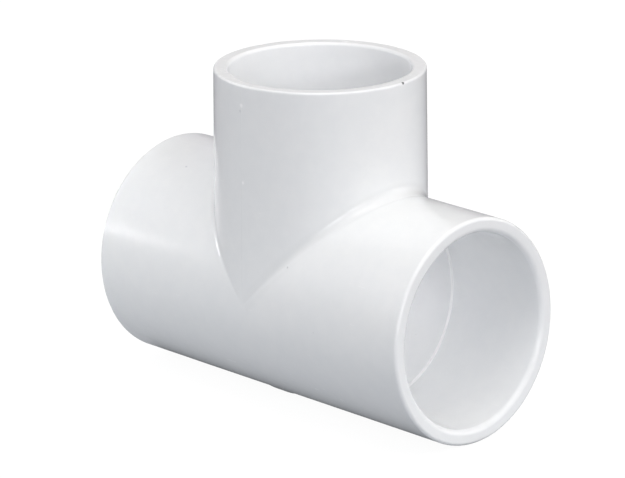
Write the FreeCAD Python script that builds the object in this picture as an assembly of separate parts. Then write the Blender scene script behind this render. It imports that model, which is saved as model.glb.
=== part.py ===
import FreeCAD, Part
import math
import os

# Equal slip x slip x slip tee for nominal 2 inch schedule 40 PVC pipe.
# One moulding: a straight run with a branch of the same outside diameter
# standing up from its middle, a plain socket in each of the three ends, and
# a stop ledge at the bottom of each socket.
#
# Millimetres. +Z is up along the branch, +X is along the run, and the origin
# is on the underside of the run, straight below the crossing of the two axes.
# The tee is modelled about that crossing and lifted into place at the end.

# ---- driving dimensions ----
BODY_DIA = 69.85           # outside of the run and of the branch
CENTER_TO_END = 70.50      # crossing of the axes to the face of any mouth
SOCKET_DIA = 60.40         # mean of the moulded entrance and bottom
STOP_DEPTH = 40.00         # mouth face to the stop ledge
WATERWAY_DIA = 58.40       # bore through the middle, past the stop ledges
RUN_LIP_RADIUS = 1.70      # rounding of the socket's entrance, run mouths
RUN_RIM_RADIUS = 1.10      # rounding of the outside edge, run mouths
BRANCH_LIP_RADIUS = 1.10   # the same two roundings at the branch mouth
BRANCH_RIM_RADIUS = 0.70
LEDGE_RADIUS = 0.35        # rounded inner corner of each stop ledge
CROTCH_RADIUS = 3.00       # blend between the branch and the run outside
BORE_CROTCH_RADIUS = 0.80  # rounding where the two waterways cross
TRIM = 2.00                # extra length on each leg, cut off at the mouth

# ---- derived ----
BODY_RADIUS = BODY_DIA / 2
SOCKET_RADIUS = SOCKET_DIA / 2
WATERWAY_RADIUS = WATERWAY_DIA / 2

# One row per mouth: turn about Y in degrees from +X, lip radius, rim radius
MOUTHS = (
    (0, RUN_LIP_RADIUS, RUN_RIM_RADIUS),
    (180, RUN_LIP_RADIUS, RUN_RIM_RADIUS),
    (-90, BRANCH_LIP_RADIUS, BRANCH_RIM_RADIUS),
)

CROSSING = FreeCAD.Vector(0, 0, 0)
X_AXIS = FreeCAD.Vector(1, 0, 0)
Y_AXIS = FreeCAD.Vector(0, 1, 0)
Z_AXIS = FreeCAD.Vector(0, 0, 1)


def point(x, radius):
    """Profile point at a distance along +X and a radius from the X axis."""
    return FreeCAD.Vector(x, 0, radius)


def quarter_round(start, center, end):
    middle = center + (start + end - center * 2) * math.sqrt(0.5)
    return Part.Arc(start, middle, end).toShape()


def mouth_cutter(lip, rim):
    """Everything removed at the +X mouth, as one revolved profile."""
    face = CENTER_TO_END
    stop = face - STOP_DEPTH
    beyond = face + 2 * TRIM
    outside = BODY_RADIUS + TRIM

    # Centres of the three roundings
    rim_x, rim_r = face - rim, BODY_RADIUS - rim
    lip_x, lip_r = face - lip, SOCKET_RADIUS + lip
    ledge_x, ledge_r = stop - LEDGE_RADIUS, WATERWAY_RADIUS + LEDGE_RADIUS

    # Ends of the three roundings, from the outside edge to the waterway
    rim_start, rim_end = point(rim_x, BODY_RADIUS), point(face, rim_r)
    lip_start, lip_end = point(face, lip_r), point(lip_x, SOCKET_RADIUS)
    ledge_start, ledge_end = point(stop, ledge_r), point(ledge_x, WATERWAY_RADIUS)
    socket_bottom = point(stop, SOCKET_RADIUS)

    edges = [
        # Around the waste beyond the mouth
        Part.makeLine(point(ledge_x, 0), point(beyond, 0)),
        Part.makeLine(point(beyond, 0), point(beyond, outside)),
        Part.makeLine(point(beyond, outside), point(rim_x, outside)),
        Part.makeLine(point(rim_x, outside), rim_start),
        # Rim, flat mouth face and lip
        quarter_round(rim_start, point(rim_x, rim_r), rim_end),
        Part.makeLine(rim_end, lip_start),
        quarter_round(lip_start, point(lip_x, lip_r), lip_end),
        # Socket wall, stop ledge and its inner corner
        Part.makeLine(lip_end, socket_bottom),
        Part.makeLine(socket_bottom, ledge_start),
        quarter_round(ledge_start, point(ledge_x, ledge_r), ledge_end),
        Part.makeLine(ledge_end, point(ledge_x, 0)),
    ]
    return Part.Face(Part.Wire(edges)).revolve(CROSSING, X_AXIS, 360)


def is_ellipse(edge):
    # Reading Curve raises TypeError on an edge shrunk to a point.
    try:
        return isinstance(edge.Curve, Part.Ellipse)
    except TypeError:
        return False


def crossed_pair(radius, blend):
    """Run along X and branch up Z, of one radius, blended where they meet.

    Equal cylinders meet in a V on the front and on the back. The blend is
    widest between the legs and fades to nothing at the foot of each V, where
    the surfaces become tangent. One quarter is blended, then mirrored, so
    that the four arms are alike.
    """
    length = CENTER_TO_END + TRIM
    run = Part.makeCylinder(radius, 2 * length, FreeCAD.Vector(-length, 0, 0), X_AXIS)
    branch = Part.makeCylinder(radius, length, CROSSING, Z_AXIS)

    # Keep the quarter at +X and -Y
    room_corner = FreeCAD.Vector(0, -2 * length, -2 * length)
    room = Part.makeBox(2 * length, 2 * length, 4 * length, room_corner)
    quarter = run.fuse(branch).common(room).Solids[0]

    arms = [edge for edge in quarter.Edges if is_ellipse(edge)]
    if len(arms) != 1:
        raise RuntimeError("expected one arm of the V, found %d" % len(arms))
    quarter = quarter.makeFillet(blend, arms)
    half = quarter.fuse(quarter.mirror(CROSSING, Y_AXIS))
    return half.fuse(half.mirror(CROSSING, X_AXIS)).removeSplitter()


def tee_body():
    """Outside less waterways, then each mouth trimmed and its socket bored."""
    body = crossed_pair(BODY_RADIUS, CROTCH_RADIUS)
    body = body.cut(crossed_pair(WATERWAY_RADIUS, BORE_CROTCH_RADIUS))
    for turn, lip, rim in MOUTHS:
        cutter = mouth_cutter(lip, rim)
        cutter.rotate(CROSSING, Y_AXIS, turn)
        body = body.cut(cutter)
    # Underside of the run onto Z = 0
    body.translate(FreeCAD.Vector(0, 0, BODY_RADIUS))

    if len(body.Solids) != 1:
        raise RuntimeError("the tee must be one solid, found %d" % len(body.Solids))
    solid = body.Solids[0]
    if not solid.isValid():
        raise RuntimeError("the tee's solid is not valid")
    return solid


os.makedirs("parts", exist_ok=True)
tee_body().exportStep("parts/tee_body.step")
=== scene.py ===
import math

import bpy
import numpy as np
from mathutils import Matrix, Vector


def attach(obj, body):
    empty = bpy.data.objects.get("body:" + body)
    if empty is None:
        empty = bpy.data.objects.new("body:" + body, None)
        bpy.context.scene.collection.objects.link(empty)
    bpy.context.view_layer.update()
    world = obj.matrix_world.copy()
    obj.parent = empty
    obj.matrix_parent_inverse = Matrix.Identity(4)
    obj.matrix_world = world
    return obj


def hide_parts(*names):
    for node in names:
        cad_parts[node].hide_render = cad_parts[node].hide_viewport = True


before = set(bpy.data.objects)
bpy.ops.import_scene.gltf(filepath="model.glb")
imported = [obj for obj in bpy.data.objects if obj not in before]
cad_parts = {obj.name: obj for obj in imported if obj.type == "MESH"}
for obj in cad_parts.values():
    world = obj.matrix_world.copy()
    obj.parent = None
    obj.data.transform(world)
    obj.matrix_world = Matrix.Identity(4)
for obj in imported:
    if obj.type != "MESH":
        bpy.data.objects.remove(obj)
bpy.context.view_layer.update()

MM = 0.001

# ---- the moulding's dimensions, millimetres, as the CAD node has them ------
R_OUT = 34.925
LEG = 70.5
R_SOCK = 30.2
R_WAY = 29.2
STOP = 30.5
RUN_LIP, RUN_RIM = 1.7, 1.1
BRANCH_LIP, BRANCH_RIM = 1.1, 0.7
LEDGE = 0.35
ROOT = 0.20          # tiny radius where the stop ledge meets the socket wall
CROTCH = 3.0
BORE_CROTCH = 0.8
AXIS_Z = R_OUT


# ---------------------------------------------------------------------------
# mesh: one closed skin made of matched grids
# ---------------------------------------------------------------------------
def spaced(total, near, step):
    """0..total, with the offsets in near first and then even steps no longer than step."""
    near = [v for v in near if v < total * 0.4]
    start = near[-1]
    n = max(1, int(math.ceil((total - start) / step)))
    return np.array(near[:-1] + list(np.linspace(start, total, n + 1)))


def arc(cx, cr, radius, a0, a1, n):
    """Points and outward normals of a profile arc; angles in degrees, 0 along +axis, 90 away from the axis."""
    a = np.radians(np.linspace(a0, a1, n + 1))
    p = np.stack([cx + radius * np.cos(a), cr + radius * np.sin(a)], 1)
    return p, np.stack([np.cos(a), np.sin(a)], 1)


def leg_profile(lip, rim):
    """The revolved part of one leg, from the start of the rim rounding to the end of the ledge rounding:
    (axial, radial) points with normals pointing out of the plastic."""
    pts, nrm = [], []

    def add(p, n):
        if pts:
            p, n = p[1:], n[1:]
        pts.extend(p)
        nrm.extend(n)

    def straight(p0, p1, n, count):
        t = np.linspace(0, 1, count + 1)[:, None]
        p = np.array(p0)[None] * (1 - t) + np.array(p1)[None] * t
        add(p, np.repeat(np.array([n], float), count + 1, 0))

    p, n = arc(LEG - rim, R_OUT - rim, rim, 90, 0, 8)
    add(p, n)
    straight((LEG, R_OUT - rim), (LEG, R_SOCK + lip), (1, 0), 3)
    p, n = arc(LEG - lip, R_SOCK + lip, lip, 0, -90, 10)
    add(p, n)
    straight((LEG - lip, R_SOCK), (STOP + ROOT, R_SOCK), (0, -1), 13)
    # concave root: centre inside the socket space, so the normal points back to it
    a = np.radians(np.linspace(90, 180, 6))
    p = np.stack([STOP + ROOT + ROOT * np.cos(a), R_SOCK - ROOT + ROOT * np.sin(a)], 1)
    add(p, np.stack([-np.cos(a), -np.sin(a)], 1))
    p, n = arc(STOP - LEDGE, R_WAY + LEDGE, LEDGE, 0, -90, 5)
    straight((STOP, R_SOCK - ROOT), p[0], (1, 0), 1)
    add(p, n)
    return np.array(pts), np.array(nrm)


class Skin:
    def __init__(self):
        self.co, self.no, self.quads, self.count = [], [], [], 0

    def grid(self, p, n):
        """p, n: (rows, cols, 3) arrays; adds their quads wound along n."""
        rows, cols = p.shape[:2]
        idx = np.arange(rows * cols).reshape(rows, cols) + self.count
        q = np.stack([idx[:-1, :-1], idx[1:, :-1], idx[1:, 1:], idx[:-1, 1:]], -1).reshape(-1, 4)
        self.co.append(p.reshape(-1, 3))
        self.no.append(n.reshape(-1, 3))
        self.quads.append(q)
        self.count += rows * cols


def blend_centres(phi, radius, ball):
    """Rolling ball between two crossed cylinders of one radius, at angle phi from the widest point."""
    s, c = np.sin(phi), np.cos(phi)
    return np.stack([(radius + ball) * s, -(radius + ball) * c, (radius + ball) * s], -1)


def blend_patch(phi, radius, ball, cols, flip):
    centre = blend_centres(phi, radius, ball)
    s, c, o = np.sin(phi), np.cos(phi), np.zeros_like(phi)
    d1 = np.stack([o, c, -s], -1)       # towards the run's surface
    d2 = np.stack([-s, c, o], -1)       # towards the branch's surface
    w = np.arccos(np.clip(c * c, -1, 1))
    t = np.linspace(0, 1, cols + 1)
    sw = np.sin(w)
    safe = np.where(sw < 1e-9, 1.0, sw)
    a = np.where(sw[:, None] < 1e-9, 1 - t[None], np.sin((1 - t)[None] * w[:, None]) / safe[:, None])
    b = np.where(sw[:, None] < 1e-9, t[None], np.sin(t[None] * w[:, None]) / safe[:, None])
    d = a[..., None] * d1[:, None] + b[..., None] * d2[:, None]
    d /= np.linalg.norm(d, axis=-1, keepdims=True)
    p = centre[:, None] + ball * d
    n = -d if not flip else d
    return p, n


def build_skin():
    near = [0.0, 0.14, 0.28, 0.5, 0.8, 1.2, 1.8]
    up = spaced(R_OUT * math.pi / 2, near, 0.78) / R_OUT
    low = spaced(R_OUT * math.pi / 2, [0.0, 0.3, 0.7, 1.2], 0.85) / R_OUT
    low = -low[::-1]
    out_u = spaced(LEG - 1.0, near, 2.3) / (LEG - 1.0)
    in_u = spaced(STOP - LEDGE, [0.0, 0.3, 0.7, 1.3], 2.6) / (STOP - LEDGE)

    def leg_grid(phi, upper, lip, rim):
        profile, pnorm = leg_profile(lip, rim)
        s = np.sin(phi)
        start_out = (R_OUT + CROTCH) * s if upper else np.zeros_like(s)
        start_in = (R_WAY + BORE_CROTCH) * s if upper else np.zeros_like(s)
        end_out, end_in = LEG - rim, STOP - LEDGE
        ax_out = start_out[:, None] + (end_out - start_out)[:, None] * out_u[None]
        ax_in = end_in - (end_in - start_in)[:, None] * (1 - in_u[::-1])[None]
        n_out, n_in = len(out_u), len(in_u)
        mid = profile[1:-1]
        ax = np.concatenate([ax_out, np.repeat(mid[None, :, 0], len(phi), 0), ax_in], 1)
        rr = np.concatenate([np.full((len(phi), n_out), R_OUT),
                             np.repeat(mid[None, :, 1], len(phi), 0),
                             np.full((len(phi), n_in), R_WAY)], 1)
        na = np.concatenate([np.zeros((len(phi), n_out)),
                             np.repeat(pnorm[None, 1:-1, 0], len(phi), 0),
                             np.zeros((len(phi), n_in))], 1)
        nr = np.concatenate([np.ones((len(phi), n_out)),
                             np.repeat(pnorm[None, 1:-1, 1], len(phi), 0),
                             -np.ones((len(phi), n_in))], 1)
        return ax, rr, na, nr

    skin = Skin()

    def run_points(phi, ax, rr):
        return np.stack([ax, -rr * np.cos(phi)[:, None], rr * np.sin(phi)[:, None]], -1)

    def branch_points(phi, ax, rr):
        return np.stack([rr * np.sin(phi)[:, None], -rr * np.cos(phi)[:, None], ax], -1)

    for phi, upper in ((low, False), (up, True)):
        ax, rr, na, nr = leg_grid(phi, upper, RUN_LIP, RUN_RIM)
        skin.grid(run_points(phi, ax, rr), run_points(phi, na, nr))
    ax, rr, na, nr = leg_grid(up, True, BRANCH_LIP, BRANCH_RIM)
    skin.grid(branch_points(up, ax, rr), branch_points(up, na, nr))
    p, n = blend_patch(up, R_OUT, CROTCH, 8, False)
    skin.grid(p, n)
    p, n = blend_patch(up, R_WAY, BORE_CROTCH, 5, True)
    skin.grid(p, n)

    co, no = np.concatenate(skin.co), np.concatenate(skin.no)
    quads = np.concatenate(skin.quads)
    all_co, all_no, all_q = [], [], []
    for sx in (1, -1):
        for sy in (1, -1):
            m = np.array([sx, sy, 1.0])
            all_co.append(co * m)
            all_no.append(no * m)
            all_q.append(quads + len(co) * len(all_q))
    co, no, quads = np.concatenate(all_co), np.concatenate(all_no), np.concatenate(all_q)

    # join the grids: vertices at the same place become one
    key = np.round(co / 2e-4).astype(np.int64)
    _, first, inverse = np.unique(key, axis=0, return_index=True, return_inverse=True)
    inverse = inverse.reshape(-1)
    merged_no = np.zeros((len(first), 3))
    np.add.at(merged_no, inverse, no)
    co = co[first]
    no = merged_no / np.maximum(np.linalg.norm(merged_no, axis=1, keepdims=True), 1e-12)
    quads = inverse[quads]
    faces = []
    for q in quads:
        f = []
        for v in q:
            if v not in f:
                f.append(int(v))
        if len(f) >= 3:
            faces.append(f)
    # wind every face along its surface's normal
    out = []
    for f in faces:
        a, b, c = co[f[0]], co[f[1]], co[f[2]]
        fn = np.cross(b - a, c - a)
        if len(f) == 4:
            fn = fn + np.cross(c - a, co[f[3]] - a)
        if float(fn @ no[f].sum(0)) < 0:
            f = f[::-1]
        out.append(f)
    return co, no, out


def vertex_normals(co, faces):
    tri = []
    for f in faces:
        tri.append((f[0], f[1], f[2]))
        if len(f) == 4:
            tri.append((f[0], f[2], f[3]))
    tri = np.array(tri)
    a, b, c = co[tri[:, 0]], co[tri[:, 1]], co[tri[:, 2]]
    fn = np.cross(b - a, c - a)
    n = np.zeros_like(co)
    for k in range(3):
        np.add.at(n, tri[:, k], fn)
    return n / np.maximum(np.linalg.norm(n, axis=1, keepdims=True), 1e-15)


# ---------------------------------------------------------------------------
# what the mould and the handling left on the skin, as real relief
# ---------------------------------------------------------------------------
def smooth(t):
    t = np.clip(t, 0, 1)
    return t * t * (3 - 2 * t)


def waviness(p, wavelength, seed):
    """Smooth, repeatable unevenness from a few crossed sine waves, about -1 to 1."""
    rng = np.random.default_rng(seed)
    total = np.zeros(len(p))
    for _ in range(7):
        d = rng.normal(size=3)
        d /= np.linalg.norm(d)
        total += np.sin(p @ d * (2 * math.pi / (wavelength * rng.uniform(0.7, 1.5))) + rng.uniform(0, 6.28))
    return total / 3.5


# Dents: place (axis frame, mm), radius, depth.  The first group is the chewed front-left edge of the
# branch mouth, the others are single nicks on the lips.
NICKS = []
for turn, radius, depth in ((-76, 1.1, 0.10), (-69, 0.8, 0.16), (-64, 1.3, 0.10), (-57, 0.7, 0.17), (-50, 1.0, 0.12),
                            (-44, 0.8, 0.15), (-38, 0.7, 0.08), (62, 0.7, 0.12), (131, 0.9, 0.10), (214, 0.8, 0.12)):
    a = math.radians(47 + turn)
    NICKS.append((((R_OUT - 0.1) * math.sin(a), -(R_OUT - 0.1) * math.cos(a), LEG - 0.1), radius, depth))
NICKS += [((70.2, 26.18, -16.79), 0.9, 0.28), ((70.2, 4.21, -30.0), 0.9, 0.30), ((70.3, -21.5, -27.4), 0.8, 0.12),
          ((70.3, -33.8, 8.6), 0.8, 0.10), ((-70.3, 12.0, 32.7), 0.9, 0.14), ((-70.3, -30.9, -16.1), 0.8, 0.12)]


def relief(p):
    """Outward height in mm at points p of the axis frame."""
    x, y, z = p.T
    r_run, r_branch = np.hypot(y, z), np.hypot(x, y)
    on_branch = (r_branch > R_OUT - 0.02) & (z > 0) & (np.abs(r_branch - R_OUT) < 0.02)
    on_run = np.abs(r_run - R_OUT) < 0.02
    h = 0.010 * waviness(p, 17.0, 3) + 0.004 * waviness(p, 6.5, 4)
    # the line where the two melt fronts met, down the middle of the branch, front and back
    line = np.exp(-(x / 0.18) ** 2) * (0.75 + 0.25 * np.sin(z * 0.9))
    h = h + 0.090 * line * on_branch * smooth((z - 1.5) / 5.0) * smooth((LEG - 1.5 - z) / 2.0)
    # trimmed gate under the run's front
    theta = math.radians(-68)
    across = R_OUT * (np.arctan2(z, -y) - theta)
    gate = smooth((4.6 - np.hypot(x + 4.0, across)) / 1.5)
    h = h + (0.24 + 0.05 * waviness(p, 2.6, 5)) * gate * on_run * (y < 0)
    # mouth edges are a little uneven
    mouth = np.maximum(np.abs(x), z) - (LEG - 1.0)
    h = h + 0.012 * waviness(p, 2.4, 6) * smooth(mouth / 0.6)
    for place, radius, depth in NICKS:
        d2 = ((p - np.array(place)) ** 2).sum(1) / radius ** 2
        h = h - depth * np.exp(-d2 * 1.6)
    return h


co, normals, faces = build_skin()
flat = vertex_normals(co, faces)
co = co + normals * relief(co)[:, None]
normals = normals + (vertex_normals(co, faces) - flat)
normals /= np.linalg.norm(normals, axis=1, keepdims=True)
co[:, 2] += AXIS_Z
print("skin", len(co), "vertices", len(faces), "faces", sum(len(f) - 2 for f in faces), "triangles")

mesh = bpy.data.meshes.new("tee_moulding")
mesh.from_pydata((co * MM).tolist(), [], faces)
mesh.validate(clean_customdata=False)
mesh.update()
for poly in mesh.polygons:
    poly.use_smooth = True
mesh.normals_split_custom_set_from_vertices([tuple(v) for v in normals])
tee = bpy.data.objects.new("tee_moulding", mesh)
bpy.context.scene.collection.objects.link(tee)
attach(tee, "root")
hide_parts("tee_body")


# ---------------------------------------------------------------------------
# material: rigid white PVC
# ---------------------------------------------------------------------------
class Nodes:
    """Short-hand for building a shader; lengths are in millimetres from here on."""

    def __init__(self, mat):
        mat.use_nodes = True
        self.nt = mat.node_tree
        self.nt.nodes.clear()

    def new(self, kind, **props):
        n = self.nt.nodes.new("ShaderNode" + kind)
        for k, v in props.items():
            setattr(n, k, v)
        return n

    def put(self, socket, value):
        if isinstance(value, bpy.types.NodeSocket):
            self.nt.links.new(value, socket)
        elif value is not None:
            socket.default_value = value

    def math(self, op, a, b=None, c=None):
        n = self.new("Math", operation=op)
        for i, v in enumerate((a, b, c)):
            if v is not None:
                self.put(n.inputs[i], v)
        return n.outputs[0]

    def vec(self, op, a, b=None, scale=None):
        n = self.new("VectorMath", operation=op)
        self.put(n.inputs[0], a)
        if b is not None:
            self.put(n.inputs[1], b)
        if scale is not None:
            self.put(n.inputs["Scale"], scale)
        return n.outputs["Value"] if op in ("LENGTH", "DISTANCE", "DOT_PRODUCT") else n.outputs["Vector"]

    def noise(self, where, scale, detail=2.0, rough=0.5, warp=0.0):
        n = self.new("TexNoise")
        self.put(n.inputs["Vector"], where)
        self.put(n.inputs["Scale"], scale)
        self.put(n.inputs["Detail"], detail)
        self.put(n.inputs["Roughness"], rough)
        self.put(n.inputs["Distortion"], warp)
        return n.outputs["Fac"]

    def ramp(self, value, lo, hi, out_lo=0.0, out_hi=1.0, smooth=True):
        n = self.new("MapRange", interpolation_type="SMOOTHSTEP" if smooth else "LINEAR")
        for name, v in (("Value", value), ("From Min", lo), ("From Max", hi), ("To Min", out_lo), ("To Max", out_hi)):
            self.put(n.inputs[name], v)
        return n.outputs["Result"]

    def mix(self, fac, a, b, blend="MIX"):
        n = self.new("Mix", data_type="RGBA", blend_type=blend)
        self.put(n.inputs["Factor"], fac)
        self.put(n.inputs[6], a)
        self.put(n.inputs[7], b)
        return n.outputs[2]


# Small marks on the skin: place (CAD frame, mm), radius in mm, colour, strength.
MARKS = [
    ((34.5, 4.3, 105.3), 0.66, (0.05, 0.05, 0.055, 1), 0.95),
    ((0.05, -34.92, 98.9), 0.85, (0.99, 0.99, 1.0, 1), 0.95),
    ((-0.5, -34.92, 97.0), 0.6, (0.42, 0.45, 0.50, 1), 0.22),
    ((0.6, -34.92, 74.4), 0.7, (0.99, 0.99, 1.0, 1), 0.9),
    ((17.5, -31.4, 50.3), 0.42, (0.16, 0.17, 0.19, 1), 0.32),
    ((16.6, -31.9, 51.4), 0.30, (0.25, 0.26, 0.29, 1), 0.5),
    ((-48.8, -15.5, 66.2), 0.55, (0.50, 0.53, 0.58, 1), 0.5),
    ((-22.0, 33.4, 46.0), 0.45, (0.30, 0.31, 0.33, 1), 0.5),
    ((41.0, 24.0, 10.2), 0.50, (0.35, 0.36, 0.38, 1), 0.5),
]


def make_pvc():
    mat = bpy.data.materials.new("white_pvc")
    k = Nodes(mat)
    coord = k.new("TexCoord").outputs["Object"]
    at = k.vec("SCALE", coord, scale=1000.0)
    sep = k.new("SeparateXYZ")
    k.put(sep.inputs[0], at)
    x, y, z = sep.outputs
    zc = k.math("SUBTRACT", z, AXIS_Z)
    ax = k.math("ABSOLUTE", x)
    r_run = k.math("SQRT", k.math("ADD", k.math("MULTIPLY", y, y), k.math("MULTIPLY", zc, zc)))
    r_branch = k.math("SQRT", k.math("ADD", k.math("MULTIPLY", y, y), k.math("MULTIPLY", x, x)))

    # clouding from the melt, drawn out along the legs; finer mottle; pigment grain
    flow = k.noise(at, 0.030, 3.0, 0.55, 0.6)
    mottle = k.noise(at, 0.21, 4.0, 0.6)
    grain = k.noise(at, 3.1, 2.0)
    tone = k.mix(flow, (0.852, 0.868, 0.880, 1), (0.886, 0.893, 0.897, 1))
    tone = k.mix(k.ramp(mottle, 0.3, 0.7), k.mix(1.0, tone, (0.982, 0.984, 0.987, 1), "MULTIPLY"), tone)
    tone = k.mix(k.ramp(grain, 0.35, 0.65), k.mix(1.0, tone, (0.993, 0.993, 0.994, 1), "MULTIPLY"), tone)

    # sparse specks in the resin
    vor = k.new("TexVoronoi", feature="F1")
    k.put(vor.inputs["Vector"], at)
    k.put(vor.inputs["Scale"], 0.15)
    k.put(vor.inputs["Randomness"], 1.0)
    pick = k.new("SeparateXYZ")
    k.put(pick.inputs[0], vor.outputs["Color"])
    speck = k.math("MULTIPLY", k.ramp(vor.outputs["Distance"], 0.017, 0.034, 1.0, 0.0),
                   k.ramp(pick.outputs[0], 0.86, 0.88))
    tone = k.mix(k.math("MULTIPLY", speck, 0.30), tone, (0.33, 0.34, 0.36, 1))

    # the mouths: burnished edges and faces, slightly whiter and duller
    mouth = k.math("MAXIMUM", k.math("SUBTRACT", ax, LEG), k.math("SUBTRACT", zc, LEG))
    worn = k.ramp(k.math("ADD", mouth, k.math("MULTIPLY", k.math("SUBTRACT", mottle, 0.5), 1.6)), -1.5, -0.2)
    tone = k.mix(k.math("MULTIPLY", worn, 0.35), tone, (0.93, 0.94, 0.95, 1))

    # the stop ledges: painted highlight, a paler ring on each ledge that makes it read brighter
    seat_run = k.math("MULTIPLY", k.math("LESS_THAN", r_run, R_SOCK + 0.05), k.math("COMPARE", ax, STOP - 0.02, 0.14))
    seat_branch = k.math("MULTIPLY", k.math("LESS_THAN", r_branch, R_SOCK + 0.05), k.math("COMPARE", zc, STOP - 0.02, 0.14))
    seat_highlight = k.math("MAXIMUM", seat_run, seat_branch)
    tone = k.mix(k.math("MULTIPLY", seat_highlight, 0.9), tone, (0.965, 0.968, 0.972, 1))

    # handling scratches: long thin streaks in three directions, broken up by the mottle
    scratch = None
    for turn, stretch, cut in (((0.3, 0.15, 0.1), (0.05, 2.6, 2.6), 0.70), ((0.1, 0.5, 1.1), (2.9, 0.06, 2.9), 0.71),
                               ((1.2, 0.2, 0.6), (2.4, 2.4, 0.05), 0.71)):
        m = k.new("Mapping")
        k.put(m.inputs["Vector"], at)
        m.inputs["Rotation"].default_value = turn
        m.inputs["Scale"].default_value = stretch
        s = k.ramp(k.noise(m.outputs[0], 0.9, 2.0), cut, cut + 0.05)
        scratch = s if scratch is None else k.math("MAXIMUM", scratch, s)
    scratch = k.math("MULTIPLY", scratch, k.ramp(mottle, 0.42, 0.62))
    tone = k.mix(k.math("MULTIPLY", scratch, 0.05), tone, (0.97, 0.98, 0.99, 1))

    # draw lines the cores left along the sockets
    around_run = k.math("MULTIPLY", k.math("ARCTAN2", y, zc), R_SOCK)
    around_branch = k.math("MULTIPLY", k.math("ARCTAN2", y, x), R_SOCK)
    in_run = k.math("GREATER_THAN", ax, STOP)
    in_branch = k.math("GREATER_THAN", zc, R_OUT + 0.5)
    in_run = k.math("MULTIPLY", in_run, k.math("LESS_THAN", r_run, R_SOCK + 0.3))
    in_branch = k.math("MULTIPLY", in_branch, k.math("LESS_THAN", r_branch, R_SOCK + 0.3))
    drawn = None
    for around, inside in ((around_run, in_run), (around_branch, in_branch)):
        one = k.new("TexNoise", noise_dimensions="1D")
        k.put(one.inputs["W"], around)
        k.put(one.inputs["Scale"], 0.85)
        k.put(one.inputs["Detail"], 5.0)
        k.put(one.inputs["Roughness"], 0.7)
        d = k.math("MULTIPLY", one.outputs["Fac"], inside)
        drawn = d if drawn is None else k.math("ADD", drawn, d)

    for place, radius, colour, strength in MARKS:
        off = k.vec("DISTANCE", at, place)
        ragged = k.math("MULTIPLY", k.math("SUBTRACT", grain, 0.5), radius * 0.9)
        spot = k.ramp(k.math("ADD", off, ragged), radius * 0.45, radius, strength, 0.0)
        tone = k.mix(spot, tone, colour)

    rough = k.math("ADD", ROUGH, k.math("MULTIPLY", k.math("SUBTRACT", flow, 0.5), 0.07))
    rough = k.math("ADD", rough, k.math("MULTIPLY", k.math("SUBTRACT", mottle, 0.5), 0.06))
    rough = k.math("ADD", rough, k.math("MULTIPLY", worn, 0.07))
    rough = k.math("ADD", rough, k.math("MULTIPLY", scratch, 0.12))
    # A look setting, not a known property of the part: the blend between the legs is glossier all along the left arm
    # and in one patch of the right arm, and the right arm is painted a shade greyer, painted shade that darkens it,
    # to suit the main view.
    off_mitre = k.math("MULTIPLY", k.math("ABSOLUTE", k.math("SUBTRACT", ax, zc)), 0.7071)
    outside = k.math("GREATER_THAN", k.math("MAXIMUM", r_run, r_branch), R_OUT + 0.01)
    blend = k.math("MULTIPLY", k.ramp(off_mitre, 1.8, 3.3, 1.0, 0.0), outside)
    right = k.math("GREATER_THAN", x, 0.0)
    patch = k.ramp(k.math("ABSOLUTE", k.math("SUBTRACT", x, 31.6)), 1.0, 1.8, 1.0, 0.0)
    polished = k.math("MULTIPLY", blend, k.math("MAXIMUM", k.math("SUBTRACT", 1.0, right), patch))
    # painted shade: the right arm of the blend greyed, more so towards its outer end
    tone = k.mix(k.math("MULTIPLY", k.math("MULTIPLY", blend, right), k.ramp(x, 30.0, 34.0, 0.09, 0.21)), tone, (0.68, 0.69, 0.70, 1))
    rough = k.math("SUBTRACT", rough, k.math("MULTIPLY", polished, 0.12))

    # relief below what the mesh carries: orange peel, pigment grain, scratches, draw lines
    peel = k.noise(at, 0.42, 2.0, 0.45)
    height = k.math("MULTIPLY", peel, 0.010)
    height = k.math("ADD", height, k.math("MULTIPLY", grain, 0.0009))
    height = k.math("SUBTRACT", height, k.math("MULTIPLY", scratch, 0.0013))
    height = k.math("ADD", height, k.math("MULTIPLY", drawn, 0.0040))
    bump = k.new("Bump")
    bump.inputs["Strength"].default_value = 1.0
    bump.inputs["Distance"].default_value = MM
    k.put(bump.inputs["Height"], height)

    bsdf = k.new("BsdfPrincipled")
    k.put(bsdf.inputs["Base Color"], tone)
    k.put(bsdf.inputs["Roughness"], rough)
    k.put(bsdf.inputs["Normal"], bump.outputs[0])
    bsdf.inputs["IOR"].default_value = 1.53
    bsdf.inputs["Subsurface Weight"].default_value = 0.10
    bsdf.inputs["Subsurface Radius"].default_value = (1.0, 0.98, 0.95)
    bsdf.inputs["Subsurface Scale"].default_value = 0.0011
    k.nt.links.new(bsdf.outputs[0], k.new("OutputMaterial").inputs[0])
    return mat


ROUGH = 0.16
tee.data.materials.append(make_pvc())


# ---------------------------------------------------------------------------
# floor, light, camera
# ---------------------------------------------------------------------------
scene = bpy.context.scene
scene.view_settings.view_transform = "Standard"
scene.view_settings.look = "None"

PALE = 0.955          # what the paper shows the camera before any light falls on it


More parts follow.
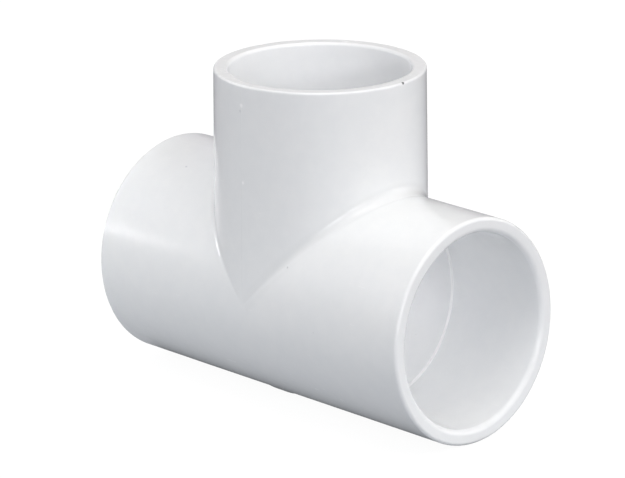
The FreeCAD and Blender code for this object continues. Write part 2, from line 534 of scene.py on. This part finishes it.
def make_floor():
    """Seamless pale paper. The camera sees it near white with a faint contact shadow; for every other ray the floor
    glows, painted bounce light standing in for the bounce off a real sheet, which lights the tee from below and is
    dimmer far out."""
    me = bpy.data.meshes.new("floor")
    n = 96
    ring = [(8.0 * math.cos(2 * math.pi * i / n), 8.0 * math.sin(2 * math.pi * i / n), 0.0) for i in range(n)]
    me.from_pydata(ring, [], [list(range(n))])
    floor = bpy.data.objects.new("floor", me)
    scene.collection.objects.link(floor)
    mat = bpy.data.materials.new("floor_paper")
    mat.use_nodes = True
    nt = mat.node_tree
    nt.nodes.clear()
    out = nt.nodes.new("ShaderNodeOutputMaterial")
    mix = nt.nodes.new("ShaderNodeMixShader")
    add = nt.nodes.new("ShaderNodeAddShader")
    seen = nt.nodes.new("ShaderNodeEmission")
    seen.inputs["Color"].default_value = (1, 1, 1, 1)
    seen.inputs["Strength"].default_value = PALE
    matt = nt.nodes.new("ShaderNodeBsdfDiffuse")
    matt.inputs["Color"].default_value = (0.07, 0.07, 0.07, 1)
    # the glow, painted bounce light: a painted contact shadow under the tee, brightest round it, dimmer again far out
    k = Nodes.__new__(Nodes)
    k.nt = nt
    glow = k.new("Emission")
    where = k.new("NewGeometry").outputs["Position"]
    sep = k.new("SeparateXYZ")
    k.put(sep.inputs[0], where)
    past_end = k.math("MAXIMUM", k.math("SUBTRACT", k.math("ABSOLUTE", sep.outputs[0]), 0.064), 0.0)
    past_end = k.math("MULTIPLY", past_end, 3.0)
    off = k.math("SQRT", k.math("ADD", k.math("MULTIPLY", past_end, past_end),
                                k.math("MULTIPLY", sep.outputs[1], sep.outputs[1])))
    open_ = k.ramp(off, 0.0, 0.036)
    far = k.ramp(k.vec("LENGTH", where), 0.09, 0.30)
    colour = k.mix(open_, FLOOR_GLOW_SHADOW, k.mix(far, FLOOR_NEAR, FLOOR_FAR))
    k.put(glow.inputs["Color"], colour)
    path = k.new("LightPath")
    nt.links.new(seen.outputs[0], add.inputs[0])
    nt.links.new(matt.outputs[0], add.inputs[1])
    nt.links.new(path.outputs["Is Camera Ray"], mix.inputs["Fac"])
    nt.links.new(glow.outputs[0], mix.inputs[1])
    nt.links.new(add.outputs[0], mix.inputs[2])
    nt.links.new(mix.outputs[0], out.inputs["Surface"])
    me.materials.append(mat)


def make_world():
    """White room for the camera, dark behind the softboxes for everything else."""
    world = bpy.data.worlds.new("studio")
    scene.world = world
    world.use_nodes = True
    nt = world.node_tree
    bg = nt.nodes["Background"]
    path = nt.nodes.new("ShaderNodeLightPath")
    bg.inputs["Color"].default_value = (1, 1, 1, 1)
    nt.links.new(path.outputs["Is Camera Ray"], bg.inputs["Strength"])


def softbox(name, turn, elevation, size, dist, aim, role, watts):
    a, e = math.radians(47.0 + turn), math.radians(elevation)
    d = Vector((math.sin(a) * math.cos(e), -math.cos(a) * math.cos(e), math.sin(e)))
    lamp = bpy.data.lights.new(name, "AREA")
    lamp.shape = "DISK"
    lamp.size = size
    lamp.energy = max(watts)
    lamp.color = [w / max(watts) for w in watts]
    ob = bpy.data.objects.new(name, lamp)
    scene.collection.objects.link(ob)
    ob.location = Vector(aim) + d * dist
    ob.rotation_mode = "QUATERNION"
    ob.rotation_quaternion = d.to_track_quat("Z", "Y")
    ob.visible_camera = False
    ob.visible_diffuse = role != "shine"
    ob.visible_glossy = role != "matt"
    ob.parent = rig
    return ob


# The lamps hang on a rig that keeps its place relative to the camera, as when the object sits on a
# turntable, so every side is lit like the main view.
rig = bpy.data.objects.new("lamp_rig", None)
scene.collection.objects.link(rig)
# colours of the floor's glow: painted bounce light, with a painted shadow under the tee
FLOOR_GLOW_SHADOW = (0.0000, 0.0000, 0.0000, 1)
FLOOR_NEAR = (0.4310, 0.4450, 0.4711, 1)
FLOOR_FAR = (0.0924, 0.0905, 0.1099, 1)
# Each lamp: azimuth from the camera's own, elevation, diameter and distance in metres, what it is aimed at,
# whether it lights the colour (matt), the reflection (shine) or both (full), and its watts as red, green, blue.
MIDDLE, LEFT_END = (0.0, 0.0, 0.045), (-0.058, -0.033, 0.046)
LAMPS = [
    (120, 6, 0.75, 1.5, MIDDLE, "matt", (5.3237, 5.4408, 5.7987)),
    (-180, 6, 0.75, 1.5, MIDDLE, "matt", (25.7254, 23.8280, 25.8842)),
    (-150, 6, 0.75, 1.5, MIDDLE, "matt", (10.1297, 9.6441, 10.1407)),
    (-120, 6, 0.75, 1.5, MIDDLE, "matt", (4.8742, 4.9157, 5.0533)),
    (30, 26, 0.75, 1.5, MIDDLE, "matt", (2.8985, 2.8199, 2.8453)),
    (-30, 26, 0.75, 1.5, MIDDLE, "matt", (1.1963, 1.2257, 1.3257)),
    (45, 48, 0.75, 1.5, MIDDLE, "matt", (5.3321, 5.2703, 5.2095)),
    (90, 48, 0.75, 1.5, MIDDLE, "matt", (3.5714, 3.5737, 3.3542)),
    (-45, 48, 0.75, 1.5, MIDDLE, "matt", (3.2561, 3.2705, 3.2940)),
    (-144, 70, 0.75, 1.5, MIDDLE, "matt", (1.8454, 1.8840, 1.9000)),
    (-72, 70, 0.75, 1.5, MIDDLE, "matt", (3.8039, 3.7562, 3.6436)),
    (-109, 11, 0.14, 1.5, MIDDLE, "shine", (0.350, 0.350, 0.350)),
    (-109, 7, 0.14, 1.5, MIDDLE, "shine", (1.200, 1.200, 1.200)),
    (-105, 7, 0.14, 1.5, MIDDLE, "shine", (1.350, 1.350, 1.350)),
    (-101, 7, 0.10, 1.5, MIDDLE, "shine", (0.420, 0.420, 0.420)),
    (-97, 7, 0.10, 1.5, MIDDLE, "shine", (0.080, 0.080, 0.080)),
    (20, 8, 0.13, 1.5, MIDDLE, "shine", (0.900, 0.900, 0.900)),
    (25, 7, 0.13, 1.5, MIDDLE, "shine", (0.700, 0.700, 0.700)),
    (30, 5, 0.13, 1.5, MIDDLE, "shine", (0.500, 0.500, 0.500)),
    (-95, 9.3, 0.03, 0.22, LEFT_END, "matt", (0.1486, 0.1485, 0.1464)),
    (24, 14, 0.13, 1.5, MIDDLE, "matt", (2.5570, 2.5264, 2.5536)),
    (0, 6, 0.75, 1.5, MIDDLE, "full", (4.9644, 5.1152, 5.2114)),
    (90, 6, 0.75, 1.5, MIDDLE, "full", (3.3000, 3.1429, 3.0690)),
    (-90, 26, 0.75, 1.5, MIDDLE, "full", (0.4440, 0.4165, 0.4494)),
    (0, 70, 0.75, 1.5, MIDDLE, "full", (4.5163, 4.3245, 4.2060)),
]
make_floor()
make_world()
for i, lamp_row in enumerate(LAMPS):
    softbox("softbox_%02d" % i, *lamp_row)


def camera():
    az, el, roll = (math.radians(v) for v in (46.85107316, -1.90137869, -0.49071551))
    dist, rise, f_px, px, py = 43.19215388, 14.34777425, 4569.00245990, 308.17524849, -1250.89315965
    w, h = 625.0, 478.0
    b = np.array([math.sin(az) * math.cos(el), -math.cos(az) * math.cos(el), math.sin(el)])
    right = np.array([math.cos(az), math.sin(az), 0.0])
    up = np.cross(right, -b)
    r2 = math.cos(roll) * right + math.sin(roll) * up
    u2 = -math.sin(roll) * right + math.cos(roll) * up
    at = np.array([0, 0, rise]) + dist * b
    at = (at * R_OUT + np.array([0, 0, AXIS_Z])) * MM
    cam_data = bpy.data.cameras.new("camera")
    cam = bpy.data.objects.new("camera", cam_data)
    scene.collection.objects.link(cam)
    m = Matrix.Identity(4)
    for i in range(3):
        m[i][0], m[i][1], m[i][2], m[i][3] = r2[i], u2[i], b[i], at[i]
    cam.matrix_world = m
    cam_data.sensor_fit = "HORIZONTAL"
    cam_data.sensor_width = 36.0
    cam_data.lens = f_px / w * 36.0
    cam_data.clip_start, cam_data.clip_end = 0.01, 100.0
    def drive(owner, prop, index, expression):
        curve = owner.driver_add(prop) if index is None else owner.driver_add(prop, index)
        curve.driver.type = "SCRIPTED"
        for axis, letter in enumerate("xy"):
            var = curve.driver.variables.new()
            var.name = letter
            var.type = "SINGLE_PROP"
            var.targets[0].id = cam
            var.targets[0].data_path = "location[%d]" % axis
        curve.driver.expression = expression

    # The shift belongs to this viewpoint only, so it goes when the camera is moved elsewhere.
    here = "%.8f if abs(x - %.6f) < 0.001 else 0.0"
    drive(cam_data, "shift_x", None, here % ((w / 2 - (px + 0.5)) / w, at[0]))
    drive(cam_data, "shift_y", None, here % (((py + 0.5) - h / 2) / w, at[0]))
    drive(rig, "rotation_euler", 2, "atan2(x, -y) - %.8f" % math.atan2(at[0], -at[1]))
    scene.camera = cam
    return cam


camera()
